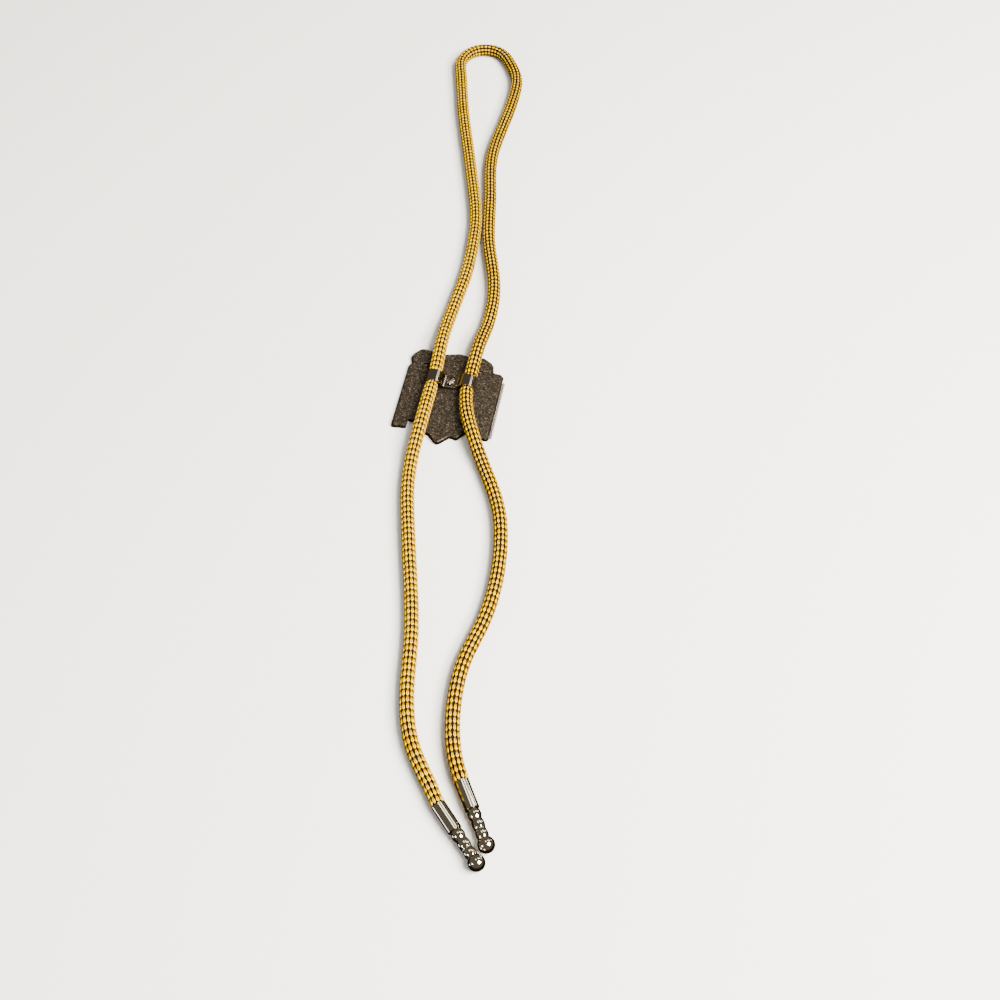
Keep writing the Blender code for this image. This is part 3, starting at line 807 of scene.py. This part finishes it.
def build_tip():
    """Turned tip: a ring pushed out and resized row by row from the bore over the lip to the ball's pole."""
    profile = tip_profile()
    bpy.ops.mesh.primitive_circle_add(vertices=TIP_SIDES, radius=profile[0][1] * MM)
    tip = bpy.context.active_object
    tip.name = "turned_tip_left"
    bpy.ops.object.mode_set(mode="EDIT")
    bpy.ops.mesh.select_all(action="SELECT")
    bpy.ops.transform.translate(value=(0.0, 0.0, profile[0][0] * MM))
    for (before, was), (along, radius) in zip(profile, profile[1:]):
        step = (0.0, 0.0, (along - before) * MM)
        bpy.ops.mesh.extrude_edges_move(TRANSFORM_OT_translate={"value": step})
        share = radius / was
        bpy.ops.transform.resize(value=(share, share, 1.0), center_override=(0.0, 0.0, 0.0))
    bpy.ops.mesh.merge(type="CENTER")
    bpy.ops.mesh.select_all(action="SELECT")
    bpy.ops.mesh.normals_make_consistent(inside=False)
    bpy.ops.object.mode_set(mode="OBJECT")
    make_active(tip)
    bpy.ops.object.shade_smooth_by_angle(angle=SMOOTH_ANGLE)
    apply_modifier(tip, "WEIGHTED_NORMAL", {"keep_sharp": True})
    return tip


def lay_tip(tip, mouth, heading):
    """Lay a tip on its ball with its mouth at one end of the cord."""
    lie = Matrix.Rotation(heading - pi / 2, 4, "Z") @ Matrix.Rotation(pi / 2, 4, "Y")
    place = Matrix.Translation(Vector((mouth[0], mouth[1], TIP_AXIS_HEIGHT)) * MM)
    tip.data.transform(place @ lie)


def rayon_yarn():
    """Satin rayon yarn, yellow gold, with painted shade: pale on a loop's crown, darkened to deep amber and
    brown on its flanks and tucked ends by how deep they lie, and towards brown where it turns away from the
    view.
    """
    material, tree, output = new_material("rayon_yarn")
    tone = add_node(tree, "ShaderNodeAttribute", {"attribute_name": "yarn_tone"})
    depth = add_node(tree, "ShaderNodeAttribute", {"attribute_name": "yarn_shade_depth"})
    # Painted shade: pale gold on the crowns, deep amber and brown the deeper a place lies
    painted_shade_by_depth = add_node(
        tree,
        "ShaderNodeValToRGB",
        inputs={"Fac": depth.outputs["Fac"]},
        stops=(
            (0.07, linear("#FACE1C")),
            (0.19, linear("#BE9010")),
            (0.31, linear("#603C04")),
            (0.50, linear("#261500")),
        ),
    )
    toned = add_node(
        tree,
        "ShaderNodeMixRGB",
        {"blend_type": "MULTIPLY"},
        {"Fac": tone.outputs["Fac"], "Color1": painted_shade_by_depth.outputs["Color"], "Color2": linear("#E8DCC0")},
    )
    # Painted shade: the colour turns deep brown where the yarn faces away from the view, outlining each loop
    # and the cord's edges
    edge = add_node(tree, "ShaderNodeLayerWeight", inputs={"Blend": 0.6})
    shaded = add_node(
        tree,
        "ShaderNodeMixRGB",
        {"blend_type": "MULTIPLY"},
        {"Fac": edge.outputs["Facing"], "Color1": toned.outputs["Color"], "Color2": linear("#4A3410")},
    )
    shader = add_node(
        tree,
        "ShaderNodeBsdfPrincipled",
        inputs={
            "Base Color": shaded.outputs["Color"],
            "Roughness": 0.38,
            "Specular IOR Level": 0.6,
            "Specular Tint": linear("#FFD23C"),
        },
    )
    tree.links.new(shader.outputs["BSDF"], output.inputs["Surface"])
    return material


def core_yarn_painted_shade():
    """Inner yarns, coloured near black as painted shade, so that the gaps between the stitches look dark."""
    material, tree, output = new_material("core_yarn_painted_shade")
    shader = add_node(
        tree,
        "ShaderNodeBsdfPrincipled",
        inputs={"Base Color": linear("#221300"), "Roughness": 0.9, "Specular IOR Level": 0.1},
    )
    tree.links.new(shader.outputs["BSDF"], output.inputs["Surface"])
    return material


def cast_zinc():
    """Zinc alloy as cast, darkened: granular, with small lighter facets."""
    material, tree, output = new_material("cast_zinc")
    place = add_node(tree, "ShaderNodeTexCoord").outputs["Object"]
    grain = add_node(
        tree,
        "ShaderNodeTexNoise",
        inputs={"Vector": place, "Scale": per_mm(CAST_COLOUR_GRAIN), "Detail": 3.0, "Roughness": 0.75},
    )
    colour = add_node(
        tree,
        "ShaderNodeValToRGB",
        inputs={"Fac": grain.outputs["Fac"]},
        stops=((0.38, linear("#1F1A13")), (0.55, linear("#3A3127")), (0.74, linear("#9A8F7F"))),
    )
    bump = add_node(
        tree,
        "ShaderNodeBump",
        inputs={"Strength": 0.8, "Distance": 0.12 * MM, "Height": grain.outputs["Fac"]},
    )
    shader = add_node(
        tree,
        "ShaderNodeBsdfPrincipled",
        inputs={
            "Base Color": colour.outputs["Color"],
            "Metallic": 0.85,
            "Roughness": 0.5,
            "Normal": bump.outputs["Normal"],
        },
    )
    tree.links.new(shader.outputs["BSDF"], output.inputs["Surface"])
    return material


def peened_zinc():
    """Zinc alloy burnished by the hammer: brighter than the casting, with small dents that glint."""
    material, tree, output = new_material("peened_zinc")
    place = add_node(tree, "ShaderNodeTexCoord").outputs["Object"]
    dents = add_node(
        tree,
        "ShaderNodeTexNoise",
        inputs={"Vector": place, "Scale": per_mm(HEAD_DENT), "Detail": 2.0},
    )
    colour = add_node(
        tree,
        "ShaderNodeValToRGB",
        inputs={"Fac": dents.outputs["Fac"]},
        stops=((0.40, linear("#3A342C")), (0.62, linear("#C4BCAC"))),
    )
    bump = add_node(
        tree,
        "ShaderNodeBump",
        inputs={"Strength": 0.9, "Distance": 0.25 * MM, "Height": dents.outputs["Fac"]},
    )
    shader = add_node(
        tree,
        "ShaderNodeBsdfPrincipled",
        inputs={
            "Base Color": colour.outputs["Color"],
            "Metallic": 1.0,
            "Roughness": 0.22,
            "Normal": bump.outputs["Normal"],
        },
    )
    tree.links.new(shader.outputs["BSDF"], output.inputs["Surface"])
    return material


def rubbed_zinc():
    """Zinc alloy along the face's rim, rubbed lighter than the casting."""
    material, tree, output = new_material("rubbed_zinc")
    shader = add_node(
        tree,
        "ShaderNodeBsdfPrincipled",
        inputs={"Base Color": linear("#857D72"), "Metallic": 0.5, "Roughness": 0.35},
    )
    tree.links.new(shader.outputs["BSDF"], output.inputs["Surface"])
    return material


def polished_nickel():
    """Nickel plate on the clip's spring steel, polished: a grey mirror with slightly soft reflections."""
    material, tree, output = new_material("polished_nickel")
    shader = add_node(
        tree,
        "ShaderNodeBsdfPrincipled",
        inputs={"Base Color": linear("#8E8578"), "Metallic": 1.0, "Roughness": 0.12},
    )
    tree.links.new(shader.outputs["BSDF"], output.inputs["Surface"])
    return material


def black_nickel():
    """Black nickel plate on the turned tips, polished: dark, with crisp lines of light along each turn."""
    material, tree, output = new_material("black_nickel")
    shader = add_node(
        tree,
        "ShaderNodeBsdfPrincipled",
        inputs={"Base Color": linear("#B2AA9A"), "Metallic": 1.0, "Roughness": 0.07},
    )
    tree.links.new(shader.outputs["BSDF"], output.inputs["Surface"])
    return material


def add_panel(name, direction, size, energy, colour):
    """Hang a square light that faces the tie."""
    data = bpy.data.lights.new(name, "AREA")
    data.shape = "SQUARE"
    data.size = size
    data.energy = energy
    data.color = linear(colour)[:3]
    panel = new_object(name, data)
    panel.location = Vector(direction).normalized() * LIGHT_DISTANCE
    panel.rotation_euler = (-panel.location).to_track_quat("-Z", "Y").to_euler()


def add_bank(name, direction, count, spread, share, energy, colour):
    """Hang a square bank of panels with dark bars between them, facing the tie."""
    centre = Vector(direction).normalized()
    side = Vector((0.0, 0.0, 1.0)).cross(centre).normalized()
    rise = centre.cross(side)
    step = 2 * tan(radians(spread) / 2)
    size = LIGHT_DISTANCE * step * share
    for column in range(count):
        for row in range(count):
            across = side * (step * (column - (count - 1) / 2))
            up = rise * (step * (row - (count - 1) / 2))
            add_panel(f"{name}_{column}_{row}", centre + across + up, size, energy, colour)


def add_lights():
    """Hang a window at the right, small panels round the tie for its metals to mirror, and a dim room."""
    for bank in LIGHT_BANKS:
        add_bank(*bank)
    world = bpy.data.worlds.new("room")
    bpy.context.scene.world = world
    world.use_nodes = True
    tree = world.node_tree
    direction = add_node(tree, "ShaderNodeTexCoord").outputs["Generated"]
    height = add_node(tree, "ShaderNodeSeparateXYZ", inputs={"Vector": direction}).outputs["Z"]
    share_up = add_node(
        tree,
        "ShaderNodeMapRange",
        inputs={"Value": height, "From Min": -1.0, "From Max": 1.0},
    )
    room = add_node(
        tree,
        "ShaderNodeValToRGB",
        inputs={"Fac": share_up.outputs["Result"]},
        stops=[(share, linear(colour)) for share, colour in ROOM_TONES],
    )
    tree.links.new(room.outputs["Color"], tree.nodes["Background"].inputs["Color"])
    tree.nodes["Background"].inputs["Strength"].default_value = 1.0


def add_floor():
    """Pale floor under the tie, hidden from reflections and bounced light so that the metals stay dark."""
    bpy.ops.mesh.primitive_plane_add(size=FLOOR_SIZE, location=(0.0, 0.0, 0.0))
    floor = bpy.context.active_object
    floor.name = "floor"
    floor.data.transform(Matrix.Translation((0.0, 0.0, -FLOOR_DROP * MM)))
    material, tree, output = new_material("pale_floor")
    shader = add_node(
        tree,
        "ShaderNodeBsdfPrincipled",
        inputs={"Base Color": linear("#F6F5F2"), "Roughness": 0.9},
    )
    tree.links.new(shader.outputs["BSDF"], output.inputs["Surface"])
    floor.data.materials.append(material)
    floor.visible_glossy = False
    floor.visible_diffuse = False


def dress(piece, material, slot_name, *nodes):
    """Give a finished piece its material, its body and the nodes that it stands for; the slot's name is not
    used.
    """
    piece.data.materials.clear()
    piece.data.materials.append(material)
    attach(piece, "root")
    if nodes:
        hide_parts(*nodes)


def main(frame):
    """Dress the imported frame."""
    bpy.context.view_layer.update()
    deselect()
    add_camera()

    line, along, radii = cord_line()
    core = build_cord_core(line, radii)
    dress(core, core_yarn_painted_shade(), "cord_knit", "cord")
    yarn = rayon_yarn()
    knit_radii = cord_radii(line, KNIT_TAPER_LENGTH, TIP_SLEEVE_DIAMETER)
    courses = course_places(along[-1], TIP_CORD_DEPTH + MOUTH_TO_COURSE)
    for name, first_share, last_share, way in KNIT_RUNS:
        chosen = (courses[:, 0] >= first_share * along[-1]) & (courses[:, 0] < last_share * along[-1])
        run = courses[chosen]
        from_turn = np.abs(run[:, 0] - along[-1] / 2)
        run[:, 0] -= way * TURN_CLOSING * np.clip(1 - from_turn / TURN_CLOSING_LENGTH, 0.0, 1.0)
        knit = build_knit(name, line, along, knit_radii, run, way)
        dress(knit, yarn, "cord_knit")

    casting = build_casting(frame["nodes"]["slide_plate"])
    rim = build_milled_rim(casting)
    head = build_peened_head()
    clip = build_clip()
    dress(casting, cast_zinc(), "cast_metal", "slide_plate")
    dress(head, peened_zinc(), "cast_metal")
    dress(rim, rubbed_zinc(), "cast_metal")
    dress(clip, polished_nickel(), "bright_metal", "cord_clip")

    tip_left = build_tip()
    tip_right = new_object("turned_tip_right", tip_left.data.copy())
    lay_tip(tip_left, TIP_LEFT_MOUTH, TIP_LEFT_HEADING)
    lay_tip(tip_right, TIP_RIGHT_MOUTH, TIP_RIGHT_HEADING)
    plating = black_nickel()
    dress(tip_left, plating, "tip_metal", "tip_left")
    dress(tip_right, plating, "tip_metal", "tip_right")

    add_floor()
    add_lights()


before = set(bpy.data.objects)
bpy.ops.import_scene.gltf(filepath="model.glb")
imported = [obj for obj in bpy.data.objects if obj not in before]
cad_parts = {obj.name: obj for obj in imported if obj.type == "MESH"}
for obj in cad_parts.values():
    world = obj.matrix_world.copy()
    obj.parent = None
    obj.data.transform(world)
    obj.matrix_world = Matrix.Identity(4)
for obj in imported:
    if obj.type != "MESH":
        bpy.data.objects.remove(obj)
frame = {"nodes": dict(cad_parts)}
main(frame)
